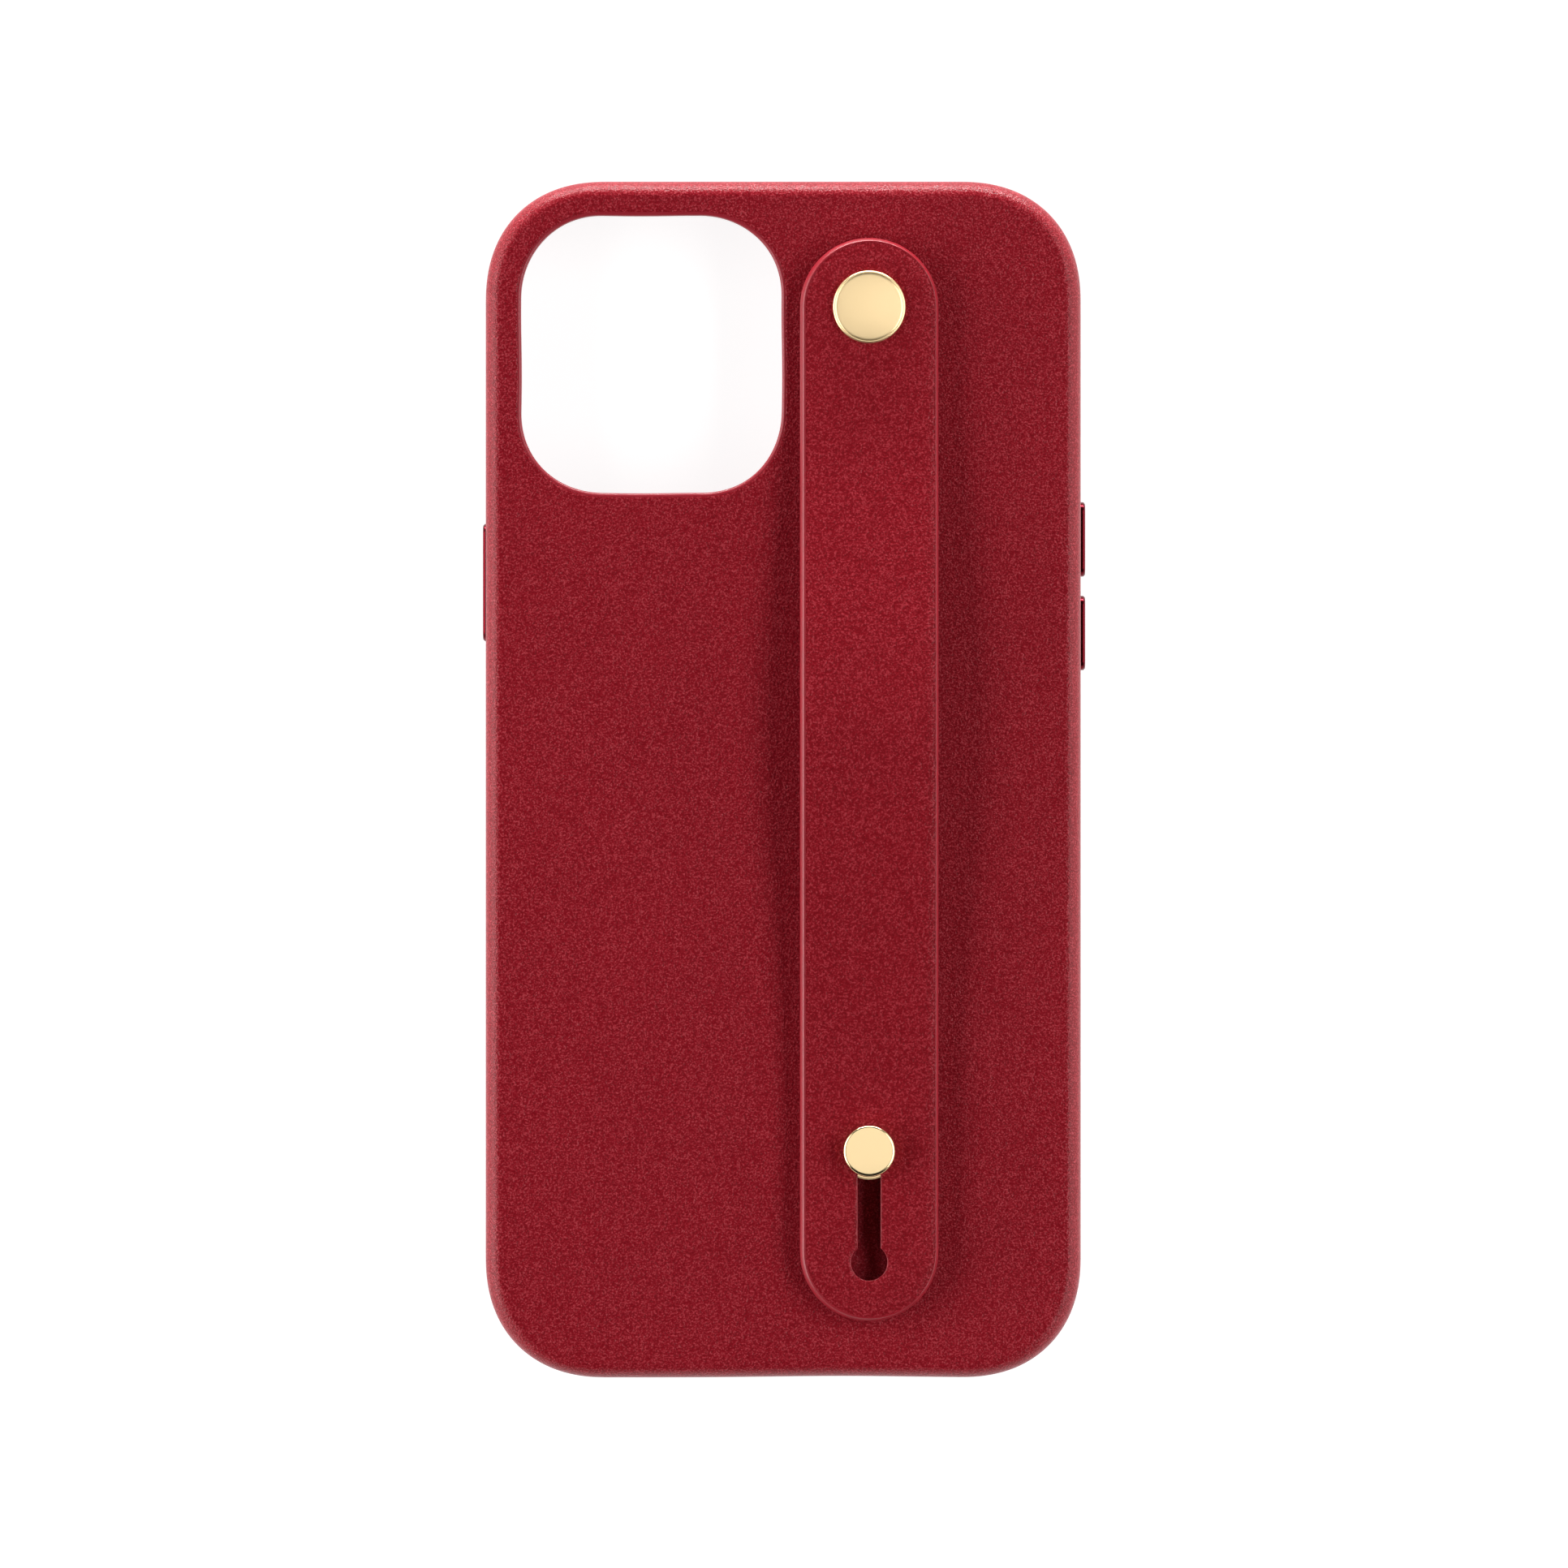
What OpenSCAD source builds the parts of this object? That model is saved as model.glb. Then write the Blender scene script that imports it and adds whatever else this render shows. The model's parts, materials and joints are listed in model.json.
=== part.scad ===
// Leather phone case with a finger strap on its back.
// The case lies on its front rim with the back up: X runs across it, Y along it towards the camera
// window, Z up through its thickness. The origin is the middle of the rim.

/* [Phone] */
// Width of the phone that the case is made for
phone_w = 78.1; // [74:0.1:84]
// Length of the phone
phone_l = 160.8; // [156:0.1:168]
// Thickness of the phone
phone_t = 7.4; // [7:0.1:10]
// Corner radius of the phone, seen from the back
phone_corner_r = 13.1; // [11:0.1:16]

/* [Case] */
// Leather thickness
leather_t = 0.8; // [0.6:0.05:1]
// Thickness of the shell's side walls
shell_wall = 0.85; // [0.8:0.05:1.2]
// Thickness of the shell's back panel
shell_floor = 1.6; // [1.4:0.1:2.4]
// Lining thickness on the walls
wall_lining_t = 0.2; // [0.1:0.05:0.3]
// Lining thickness on the back
back_lining_t = 0.3; // [0.2:0.05:0.5]
// Room between the phone and the wall lining
fit_gap = 0.05; // [0.02:0.01:0.2]
// Height of the lip in front of the screen
lip_h = 1.2; // [1:0.1:1.6]
// Radius of the rounded back edge
edge_r = 3; // [2.4:0.1:3.4]

/* [Camera window] */
// Window width
window_w = 35.8; // [30:0.1:38]
// Window length
window_l = 38.1; // [30:0.1:40]
// Window corner radius
window_r = 11.2; // [8:0.1:14]
// Leather left between the window and the side
window_side = 4.95; // [4.8:0.05:7]
// Leather left between the window and the end
window_end = 4.8; // [4.7:0.05:7]
// Width of the smooth collar round the window
collar_w = 0.55; // [0.4:0.05:0.8]

/* [Buttons] */
// Length of the side button
side_button_l = 16.2; // [14:0.1:18]
// Length of each volume button
volume_button_l = 10.3; // [9:0.1:11]
// Width of a button
button_w = 3.4; // [3:0.1:3.6]
// How far a button stands proud
button_proud = 0.65; // [0.45:0.05:0.8]

/* [Strap] */
// Strap width
strap_w = 19; // [17:0.1:20]
// Strap length, end to end, as it lies
strap_l = 148.8; // [146:0.1:150]
// Distance from the case's middle line to the strap's
strap_x = 11.8; // [11:0.1:13]
// Thickness of each of the strap's two layers
strap_layer_t = 1.1; // [0.9:0.05:1.1]
// Resting slope that sets how far the strap bows up, in degrees
bow_rest = 5; // [4:0.5:10]
// Greatest bow, with the stud at the far end of the slot, in degrees
bow_max = 45.75; // [30:0.05:45.75]

/* [Rivet and stud] */
// Distance from the case's middle to the rivet
rivet_y = 64.9; // [63:0.1:66]
// Rivet cap diameter
rivet_cap_d = 10; // [9:0.1:11]
// Distance from the case's middle to the stud
stud_y = 51; // [50.5:0.1:51.5]
// Stud head diameter
stud_head_d = 7.1; // [6.6:0.1:7.4]

/* [Hidden] */
BUTTONS = ["side_button", "volume_up", "volume_down"];
$fn = 96;
cut = 1; // how far a cutting shape runs past what it cuts

// Colours
leather_red = "#862128";
shell_red = "#6e1a20";
lining_red = "#a5323c";
button_red = "#b3202c";
seal_dark = "#3a1114";
gold = "#e9cf9c";
steel = "#b9b9bb";

// Case, in plan and in height
wall_t = leather_t + shell_wall + wall_lining_t;
case_w = phone_w + 2 * (wall_t + fit_gap);
case_l = phone_l + 2 * (wall_t + fit_gap);
case_r = phone_corner_r + wall_t + fit_gap;
plate_inset = 6;
phone_room = phone_t + 0.1;
lining_z = lip_h + phone_room;
floor_z = lining_z + back_lining_t;
shell_z = floor_z + shell_floor;
case_z = shell_z + leather_t;
wall_in = leather_t + shell_wall;
lip_reach = 1.2;
lip_in = wall_in + lip_reach;
lip_out = 0.15;
lip_step = 0.45;
lip_bevel = 0.35;
rim_bevel = 0.25;
lining_inset = 3;

// Camera window
window_x = -case_w / 2 + window_side + window_w / 2;
window_y = case_l / 2 - window_end - window_l / 2;
collar_drop = 0.15;
glue_gap = 0.05;
leather_back = 0.15; // how far the leather stands back from the openings in the shell
lining_back = 0.3; // how far the linings stand back from the openings in the shell

// Buttons and the side openings
port_z = lip_h + phone_room / 2;
button_depth = 0.35;
button_room = 0.4;
stem_short = 3.3;
stem_w = 1.6;
stem_past_web = 0.25;
stem_room = 0.2;
web_t = 0.45;
web_in = leather_t + web_t;
web_slot_room = [1.4, 0.8];
recess_room = 1.7;
clip_room = [1, 1.6];
clip_t = 0.2;
clip_gap = 0.02;
side_button_y = 27.15;
volume_up_y = 33.1;
volume_down_y = 20.2;
mute_y = 48.6;
mute_l = 10.5;
mute_w = 5;
port_l = 12.5;
port_w = 6;
speaker_l = 14;
speaker_w = 2.4;
speaker_x = 17;

// Strap: hinge plane in the middle of its thickness, tail parallel to the back
spacer_h = 1;
strap_z = case_z + spacer_h + strap_layer_t;
strap_end_r = strap_w / 2;
hinge_gap = 0.4;
first_hinge_y = 56.9;
link_unit = 12.4;
link_lengths = [1, 2, 1, 1, 2, 1];
link_slopes = [sin(22.5), sin(67.5), sin(22.5), -sin(22.5), -sin(67.5), -sin(22.5)];
slot_half_w = 1.575;
hole_r = 2.5;
hole_slack = 0.3;
// How far the chain of lengths reaches along the case at a given bow
function bow_run(bow) = 4 * link_unit * (cos(sin(22.5) * bow) + cos(sin(67.5) * bow));
slot_travel = bow_run(bow_rest) - bow_run(bow_max);
hole_y = -stud_y - slot_travel - hole_slack;

// Fasteners: each head and washer sits in a counterbore in the shell's inner face
base_r = 4;
counterbore_r = 4.2;
counterbore_z = shell_z - 0.6;
lining_hole_r = 4.1;
base_z = floor_z + 0.05;
base_t = 0.65;
washer_z = base_z + base_t;
washer_t = 0.3;
washer_gap = 0.05;
stem_z = counterbore_z + 0.02;
stem_r = 1.7;
stem_hole_r = 1.8;
post_r = 1.15;
post_bore_r = 1.17;
post_top = strap_z + 0.3;
bore_room = 0.1; // how much deeper a bore is than what it holds
spacer_r = 4.5;
cap_t = 1.2;
cap_rise = 0.45;
flange_h = 0.8;
neck_r = 1.4;
head_gap = 0.25;
head_t = 2.2;
head_round = 0.4;
shank_r = 1;
shank_bore_r = 1.02;
shank_top = case_z + 0.5;
screw_r = 3.5;
screw_slot = [0.8, 0.3];
stud_washer_r = 3.9;

// Where hinge i lies along the strap, and how high; hinge 0 is the one next to the rivet
function slope(i) = link_slopes[i] * bow_rest;
function run(i) = link_lengths[i] * link_unit * cos(slope(i));
function rise(i) = link_lengths[i] * link_unit * sin(slope(i));
function hinge_y(i) = i == 0 ? first_hinge_y : hinge_y(i - 1) - run(i - 1);
function hinge_z(i) = i == 0 ? strap_z : hinge_z(i - 1) + rise(i - 1);

// ---------- outlines ----------

module quarter_disc(r) {
    intersection() {
        circle(r);
        square(r + cut);
    }
}

module half_disc(r) {
    intersection() {
        circle(r);
        translate([0, -r - cut]) square([r + cut, 2 * (r + cut)]);
    }
}

module round_rect(w, l, r) {
    square([w - 2 * r, l], center = true);
    for (side = [-1, 1]) {
        translate([side * (w - r) / 2, 0]) square([r, l - 2 * r], center = true);
    }
    for (mx = [0, 1], my = [0, 1]) {
        mirror([mx, 0]) mirror([0, my]) translate([w / 2 - r, l / 2 - r]) quarter_disc(r);
    }
}

module pill(l, w) {
    square([l - w, w], center = true);
    for (turn = [0, 180]) {
        rotate(turn) translate([(l - w) / 2, 0]) half_disc(w / 2);
    }
}

// Sweeps a profile round the case's outline: the profile's x is 0 on the outline and
// negative inside it, and its y is the height.
module sweep_outline() {
    for (turn = [0:90:270]) {
        along = (turn % 180 == 0) ? case_l : case_w;
        across = (turn % 180 == 0) ? case_w : case_l;
        straight = along - 2 * case_r;
        rotate([0, 0, turn]) {
            translate([across / 2 - case_r, along / 2 - case_r, 0])
                rotate_extrude(angle = 90) translate([case_r, 0]) children();
            rotate([90, 0, 0]) translate([across / 2, 0, -straight / 2])
                linear_extrude(straight) children();
        }
    }
}

module inset_plate(inset, z0, z1) {
    translate([0, 0, z0]) linear_extrude(z1 - z0)
        round_rect(case_w - 2 * inset, case_l - 2 * inset, case_r - inset);
}

// The case's side and back as a solid profile, inset by d, with its rounded back edge
module edge_profile(d, z0) {
    translate([-plate_inset, z0]) square([plate_inset - edge_r, case_z - d - z0]);
    translate([-edge_r, z0]) square([edge_r - d, case_z - edge_r - z0]);
    translate([-edge_r, case_z - edge_r]) quarter_disc(edge_r - d);
}

// ---------- openings ----------

// Places children on a side wall: x = 0 on the outline and positive outwards, y along the wall
module on_side(side, y) {
    translate([side * case_w / 2, y, port_z]) mirror([side < 0 ? 1 : 0, 0, 0]) children();
}

// A pill that runs through the wall from depth d0 to depth d1 below the outline
module wall_pill(l, w, d0, d1) {
    translate([-d1, 0, 0]) rotate([90, 0, 90]) linear_extrude(d1 - d0) pill(l, w);
}

module on_buttons() {
    on_side(-1, side_button_y) children(0);
    on_side(1, volume_up_y) children(1);
    on_side(1, volume_down_y) children(1);
}

// The mute switch window and the openings in the end wall, from depth d0 to d1
module port_cuts(d0, d1, grow) {
    on_side(1, mute_y) wall_pill(mute_l + 2 * grow, mute_w + 2 * grow, d0, d1);
    translate([0, -case_l / 2, port_z]) rotate([0, 0, -90]) {
        wall_pill(port_l + 2 * grow, port_w + 2 * grow, d0, d1);
        for (side = [-1, 1]) {
            translate([0, side * speaker_x, 0])
                wall_pill(speaker_l + 2 * grow, speaker_w + 2 * grow, d0, d1);
        }
    }
}

module window_cut(grow, z0, z1) {
    translate([window_x, window_y, z0]) linear_extrude(z1 - z0)
        round_rect(window_w + 2 * grow, window_l + 2 * grow, window_r + grow);
}

module fastener_holes(r, z0, z1) {
    for (y = [rivet_y, -stud_y]) {
        translate([strap_x, y, z0]) cylinder(r = r, h = z1 - z0);
    }
}

// ---------- case ----------

module lip_profile() {
    polygon([
        [-lip_out, lip_step], [-lip_out, rim_bevel], [-lip_out - rim_bevel, 0],
        [-lip_in + lip_bevel, 0], [-lip_in, lip_bevel], [-lip_in, lip_h - lip_bevel],
        [-lip_in + lip_bevel, lip_h], [-wall_in, lip_h], [-wall_in, lip_step]
    ]);
}

module shell_profile() {
    difference() {
        edge_profile(leather_t, lip_step);
        translate([-plate_inset - cut, -cut])
            square([plate_inset + cut - wall_in, floor_z + cut]);
    }
    lip_profile();
}

// A pill the size of a button's stem, grown by the two amounts of room along and across it
module stem_pill(l, room, d0, d1) {
    wall_pill(l - stem_short + room[0], stem_w + room[1], d0, d1);
}

module button_hole(l) {
    stem_pill(l, web_slot_room, leather_t - cut, web_in + cut);
    wall_pill(l + recess_room, button_w + button_room, web_in, wall_t + cut);
}

module shell() {
    color(shell_red) difference() {
        union() {
            sweep_outline() shell_profile();
            inset_plate(plate_inset, floor_z, shell_z);
            window_cut(collar_w, floor_z, case_z - collar_drop);
        }
        window_cut(0, floor_z - cut, case_z + cut);
        fastener_holes(stem_hole_r, floor_z - cut, case_z);
        fastener_holes(counterbore_r, floor_z - cut, counterbore_z);
        port_cuts(-cut, wall_t + cut, 0);
        on_buttons() {
            button_hole(side_button_l);
            button_hole(volume_button_l);
        }
    }
}

module leather_cover() {
    color(leather_red) difference() {
        union() {
            sweep_outline() difference() {
                edge_profile(0, lip_step);
                edge_profile(leather_t, lip_step - cut);
            }
            inset_plate(plate_inset, shell_z, case_z);
        }
        window_cut(collar_w + glue_gap, shell_z - cut, case_z + cut);
        fastener_holes(stem_hole_r, shell_z - cut, case_z + cut);
        port_cuts(-cut, leather_t + cut, leather_back);
        on_buttons() {
            wall_pill(side_button_l + button_room, button_w + button_room, -cut, leather_t + cut);
            wall_pill(volume_button_l + button_room, button_w + button_room, -cut, leather_t + cut);
        }
    }
}

module back_lining() {
    color(lining_red) difference() {
        inset_plate(lining_inset, lining_z, floor_z);
        window_cut(lining_back, lining_z - cut, floor_z + cut);
        fastener_holes(lining_hole_r, lining_z - cut, floor_z + cut);
    }
}

module lining_button_hole(l) {
    room = 2 * lining_back;
    wall_pill(l + recess_room + room, button_w + button_room + room, 0, wall_t + cut);
}

module wall_lining() {
    color(lining_red) difference() {
        sweep_outline() translate([-wall_t, lip_h]) square([wall_lining_t, phone_room]);
        port_cuts(0, wall_t + cut, lining_back);
        on_buttons() {
            lining_button_hole(side_button_l);
            lining_button_hole(volume_button_l);
        }
    }
}

// ---------- buttons ----------

module button(l) {
    color(button_red) {
        wall_pill(l, button_w, -button_proud, button_depth);
        stem_pill(l, [0, 0], button_depth, web_in + stem_past_web);
    }
}

module button_clip(l) {
    color(steel) difference() {
        stem_pill(l, clip_room, web_in + clip_gap, web_in + clip_gap + clip_t);
        stem_pill(l, [0, 0], web_in - cut, web_in + cut);
    }
}

module button_gasket(l) {
    color(seal_dark) difference() {
        stem_pill(l, web_slot_room, leather_t, web_in);
        stem_pill(l, [stem_room, stem_room], leather_t - cut, web_in + cut);
    }
}

module side_button() {
    on_side(-1, side_button_y) button(side_button_l);
}

module side_button_clip() {
    on_side(-1, side_button_y) button_clip(side_button_l);
}

module side_button_gasket() {
    on_side(-1, side_button_y) button_gasket(side_button_l);
}

module volume_up_button() {
    on_side(1, volume_up_y) button(volume_button_l);
}

module volume_up_clip() {
    on_side(1, volume_up_y) button_clip(volume_button_l);
}

module volume_up_gasket() {
    on_side(1, volume_up_y) button_gasket(volume_button_l);
}

module volume_down_button() {
    on_side(1, volume_down_y) button(volume_button_l);
}

module volume_down_clip() {
    on_side(1, volume_down_y) button_clip(volume_button_l);
}

module volume_down_gasket() {
    on_side(1, volume_down_y) button_gasket(volume_button_l);
}

// ---------- rivet ----------

module at_rivet() {
    translate([strap_x, rivet_y, 0]) children();
}

module at_stud() {
    translate([strap_x, -stud_y, 0]) children();
}

module washer(outer_r, hole_r) {
    difference() {
        translate([0, 0, washer_z]) cylinder(r = outer_r, h = washer_t);
        translate([0, 0, washer_z - cut]) cylinder(r = hole_r, h = washer_t + 2 * cut);
    }
}

module rod(r, z0, z1) {
    translate([0, 0, z0]) cylinder(r = r, h = z1 - z0);
}

module rivet_post() {
    color(steel) at_rivet() {
        rod(base_r, base_z, washer_z);
        rod(post_r, base_z, post_top);
    }
}

module rivet_washer() {
    color(steel) at_rivet() washer(base_r, post_r + washer_gap);
}

module rivet_cap() {
    cap_z = strap_z + strap_layer_t;
    cap_r = rivet_cap_d / 2;
    dome_r = (cap_r * cap_r + cap_rise * cap_rise) / (2 * cap_rise);
    color(gold) at_rivet() difference() {
        union() {
            rod(stem_r, stem_z, cap_z + cap_t / 2);
            rod(cap_r, cap_z, cap_z + cap_t - cap_rise);
            intersection() {
                translate([0, 0, cap_z + cap_t - dome_r]) sphere(dome_r, $fn = 256);
                rod(cap_r + cut, cap_z + cap_t - cap_rise, cap_z + cap_t + cut);
            }
        }
        rod(post_bore_r, counterbore_z - cut, post_top + bore_room);
    }
}

module rivet_spacer() {
    color(leather_red) at_rivet() difference() {
        rod(spacer_r, case_z, case_z + spacer_h);
        rod(stem_hole_r, case_z - cut, case_z + spacer_h + cut);
    }
}

// ---------- stud ----------

// Outline of the stud's head: flat on top, rounded at the rim
module stud_head_profile(z0) {
    r = stud_head_d / 2;
    translate([0, z0]) square([r - head_round, head_t]);
    translate([r - head_round, z0]) square([head_round, head_t - head_round]);
    translate([r - head_round, z0 + head_t - head_round]) quarter_disc(head_round);
}

module stud() {
    flange_z = case_z + flange_h;
    head_z = strap_z + strap_layer_t + head_gap;
    color(gold) at_stud() difference() {
        union() {
            rod(stem_r, stem_z, case_z);
            rod(base_r, case_z, flange_z);
            rod(neck_r, flange_z, head_z);
            rotate_extrude() stud_head_profile(head_z);
        }
        rod(shank_bore_r, counterbore_z - cut, shank_top + bore_room);
    }
}

module stud_screw() {
    color(steel) at_stud() difference() {
        union() {
            rod(screw_r, base_z, washer_z);
            rod(shank_r, base_z, shank_top);
        }
        translate([0, 0, base_z + screw_slot[1] / 2 - cut / 2])
            cube([2 * base_r, screw_slot[0], screw_slot[1] + cut], center = true);
    }
}

module stud_washer() {
    color(steel) at_stud() washer(stud_washer_r, shank_r + washer_gap);
}

// ---------- strap ----------

// One length of the strap in its own frame: x across, y = 0 at its hinge and negative away
// from it, z = 0 in the middle of the strap's thickness.
module link_outline(i) {
    l = link_lengths[i] * link_unit;
    translate([-strap_w / 2, -l + hinge_gap]) square([strap_w, l - 2 * hinge_gap]);
}

module rivet_end_outline() {
    difference() {
        union() {
            translate([-strap_w / 2, first_hinge_y + hinge_gap])
                square([strap_w, strap_l / 2 - strap_end_r - first_hinge_y - hinge_gap]);
            translate([0, strap_l / 2 - strap_end_r]) rotate(90) half_disc(strap_end_r);
        }
        translate([0, rivet_y]) circle(stem_hole_r);
    }
}

module tail_outline() {
    start = hinge_y(6) - hinge_gap;
    end_centre = -strap_l / 2 + strap_end_r;
    difference() {
        union() {
            translate([-strap_w / 2, end_centre]) square([strap_w, start - end_centre]);
            translate([0, end_centre]) rotate(-90) half_disc(strap_end_r);
        }
        translate([-slot_half_w, hole_y]) square([2 * slot_half_w, -stud_y - hole_y]);
        translate([0, -stud_y]) rotate(90) half_disc(slot_half_w);
        translate([0, hole_y]) circle(hole_r);
    }
}

// Length n of the strap, counted from 1 at the rivet to 8 at the keyhole, between heights
// z0 and z1 over the hinge plane
module strap_length(n, z0, z1) {
    i = n - 2;
    if (n == 1) {
        translate([strap_x, 0, strap_z + z0]) linear_extrude(z1 - z0) rivet_end_outline();
    } else if (n == 8) {
        translate([strap_x, 0, strap_z + z0]) linear_extrude(z1 - z0) tail_outline();
    } else {
        translate([strap_x, hinge_y(i), hinge_z(i)]) rotate([-slope(i), 0, 0])
            translate([0, 0, z0]) linear_extrude(z1 - z0) link_outline(i);
    }
}

module strap_face(n) {
    color(leather_red) strap_length(n, 0, strap_layer_t);
}

module strap_lining(n) {
    color(lining_red) strap_length(n, -strap_layer_t, 0);
}

shell();
leather_cover();
back_lining();
wall_lining();
side_button();
side_button_clip();
side_button_gasket();
volume_up_button();
volume_up_clip();
volume_up_gasket();
volume_down_button();
volume_down_clip();
volume_down_gasket();
rivet_post();
rivet_washer();
rivet_cap();
rivet_spacer();
stud();
stud_screw();
stud_washer();
for (n = [1:8]) {
    strap_face(n);
    strap_lining(n);
}
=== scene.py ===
"""Looks for the leather phone case with a finger strap.

The CAD frame lies on its front rim with its back up: X across, Y towards the camera window, Z up.
Outlines and profiles are in millimetres here and become metres when an object is made.
"""

import json
import math

import bmesh
import bpy
from mathutils import Matrix, Vector
from mathutils.geometry import delaunay_2d_cdt


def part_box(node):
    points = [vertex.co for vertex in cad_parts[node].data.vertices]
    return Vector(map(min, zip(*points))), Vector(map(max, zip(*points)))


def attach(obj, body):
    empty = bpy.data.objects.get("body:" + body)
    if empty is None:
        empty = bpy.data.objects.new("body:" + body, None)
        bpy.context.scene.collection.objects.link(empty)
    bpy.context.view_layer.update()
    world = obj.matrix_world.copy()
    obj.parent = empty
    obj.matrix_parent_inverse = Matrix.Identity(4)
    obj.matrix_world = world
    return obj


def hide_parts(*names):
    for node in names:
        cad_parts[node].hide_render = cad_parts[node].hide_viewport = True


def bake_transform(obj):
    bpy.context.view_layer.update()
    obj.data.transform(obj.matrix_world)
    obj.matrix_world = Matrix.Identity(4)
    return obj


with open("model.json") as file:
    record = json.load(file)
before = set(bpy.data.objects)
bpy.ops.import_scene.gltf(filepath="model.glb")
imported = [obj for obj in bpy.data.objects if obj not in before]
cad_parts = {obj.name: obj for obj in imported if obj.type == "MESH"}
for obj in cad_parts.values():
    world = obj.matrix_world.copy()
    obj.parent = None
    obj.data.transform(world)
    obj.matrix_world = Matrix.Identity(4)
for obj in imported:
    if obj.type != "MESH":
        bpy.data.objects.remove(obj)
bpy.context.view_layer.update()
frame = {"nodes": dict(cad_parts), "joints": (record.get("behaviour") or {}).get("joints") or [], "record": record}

MM = 0.001


# ---------- places, from the frame ----------

def box_mm(node):
    """Lowest and highest corner of a CAD node, in millimetres."""
    low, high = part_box(node)
    return low / MM, high / MM


def middle_mm(node):
    low, high = box_mm(node)
    return (low + high) / 2


case_low, case_high = box_mm("leather_cover")
case_w = case_high.x - case_low.x
case_l = case_high.y - case_low.y
back_z = case_high.z
joints = {joint["name"]: joint for joint in frame["joints"]}
openings = {box["name"]: box["box_m"] for box in frame["record"]["physics"]["openings"]}


def opening_mm(name):
    low, high = openings[name]
    return Vector(low) / MM, Vector(high) / MM


LEATHER_T = 0.8
SHELL_T = 1.6         # the shell's back panel
SHELL_TOP = back_z - LEATHER_T
SHELL_FLOOR = SHELL_TOP - SHELL_T
WALL_IN = 1.65        # from the outline to the inside of the shell's wall
EDGE_R = 3.0          # height of the leather's roll over the edge
ROLL_W = 2.1          # width of the leather's roll over the edge, seen from above
ROLL_STEPS = 16
CORNER_R = 16.6       # reach of a corner along each side
CORNER_POWER = 2.25   # 2 is a circle; a little more eases the corner into the sides
PORT_Z = 4.95         # height of every opening and button in the walls
WINDOW_W = 35.8
WINDOW_L = 38.1
WINDOW_R = 11.2
WINDOW_POWER = 2.08
WINDOW_STEPS = 28     # in each corner
COLLAR_W = 0.55       # the shell's collar round the camera window
COLLAR_GAP = 0.005    # between the collar and the leather
PORT_GROW = 0.15      # by which the leather's openings are wider than the shell's, on each side
DIP = 0.2             # depth, place and reach of a slight hollow in the port end's leather
DIP_X = 8.0
DIP_REACH = 13.0


# ---------- outlines: lists of (x, y, nx, ny), the normal pointing away from the material ----------

def with_normals(points, hole=False):
    """Adds to each point of a closed anticlockwise outline the normal that points off the material."""
    count = len(points)
    sign = -1 if hole else 1
    outline = []
    for i, (x, y) in enumerate(points):
        ax, ay = points[i - 1]
        bx, by = points[(i + 1) % count]
        tx, ty = bx - ax, by - ay
        length = math.hypot(tx, ty)
        outline.append((x, y, sign * ty / length, -sign * tx / length))
    return outline


def rounded_rectangle(w, l, r, power=2.0, steps=24, side_step=2.0, centre=(0, 0)):
    """Points of a rectangle whose corners are quarter superellipses of reach r."""
    points = []
    for turn in range(4):
        across, along = (w, l) if turn % 2 == 0 else (l, w)
        cx, cy = across / 2 - r, along / 2 - r
        corner = []
        for i in range(steps + 1):
            a = math.pi / 2 * i / steps
            corner.append((cx + r * math.cos(a) ** (2 / power), cy + r * math.sin(a) ** (2 / power)))
        next_run = across - 2 * r
        parts = max(1, round(next_run / side_step))
        side = [(cx - next_run * i / parts, cy + r) for i in range(1, parts)]
        c, s = round(math.cos(turn * math.pi / 2)), round(math.sin(turn * math.pi / 2))
        points += [(centre[0] + c * x - s * y, centre[1] + s * x + c * y) for x, y in corner + side]
    return points


CIRCLE_STEPS = 48
PILL_STEPS = 12       # in each round end


def circle_points(r, centre):
    angles = [2 * math.pi * i / CIRCLE_STEPS for i in range(CIRCLE_STEPS)]
    return [(centre[0] + r * math.cos(a), centre[1] + r * math.sin(a)) for a in angles]


def pill_points(l, w):
    """A pill along x."""
    points = []
    for end, sign in enumerate((1, -1)):
        for i in range(PILL_STEPS + 1):
            a = -math.pi / 2 + math.pi * (end + i / PILL_STEPS)
            points.append((sign * (l - w) / 2 + w / 2 * math.cos(a), w / 2 * math.sin(a)))
    return points


def quarter(inset, z, r, start, end, steps=6):
    """Profile rows of an arc about (inset, z), from the angle start to end in degrees: 0 points off the
    material, 90 points up."""
    rows = []
    for i in range(steps + 1):
        a = math.radians(start + (end - start) * i / steps)
        rows.append((inset - r * math.cos(a), z + r * math.sin(a)))
    return rows


# ---------- meshes ----------

def inside(point, polygon):
    x, y = point
    odd = False
    for i, (bx, by) in enumerate(polygon):
        ax, ay = polygon[i - 1]
        if (ay > y) != (by > y) and x < (bx - ax) * (y - ay) / (by - ay) + ax:
            odd = not odd
    return odd


def near(point, polygon, reach):
    return any(abs(point[0] - x) < reach and abs(point[1] - y) < reach for x, y in polygon)


ROW_SHARE = 0.87      # of the spacing, between rows of a staggered grid
EDGE_SHARE = 0.6      # of the spacing, kept free beside a ring


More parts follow.
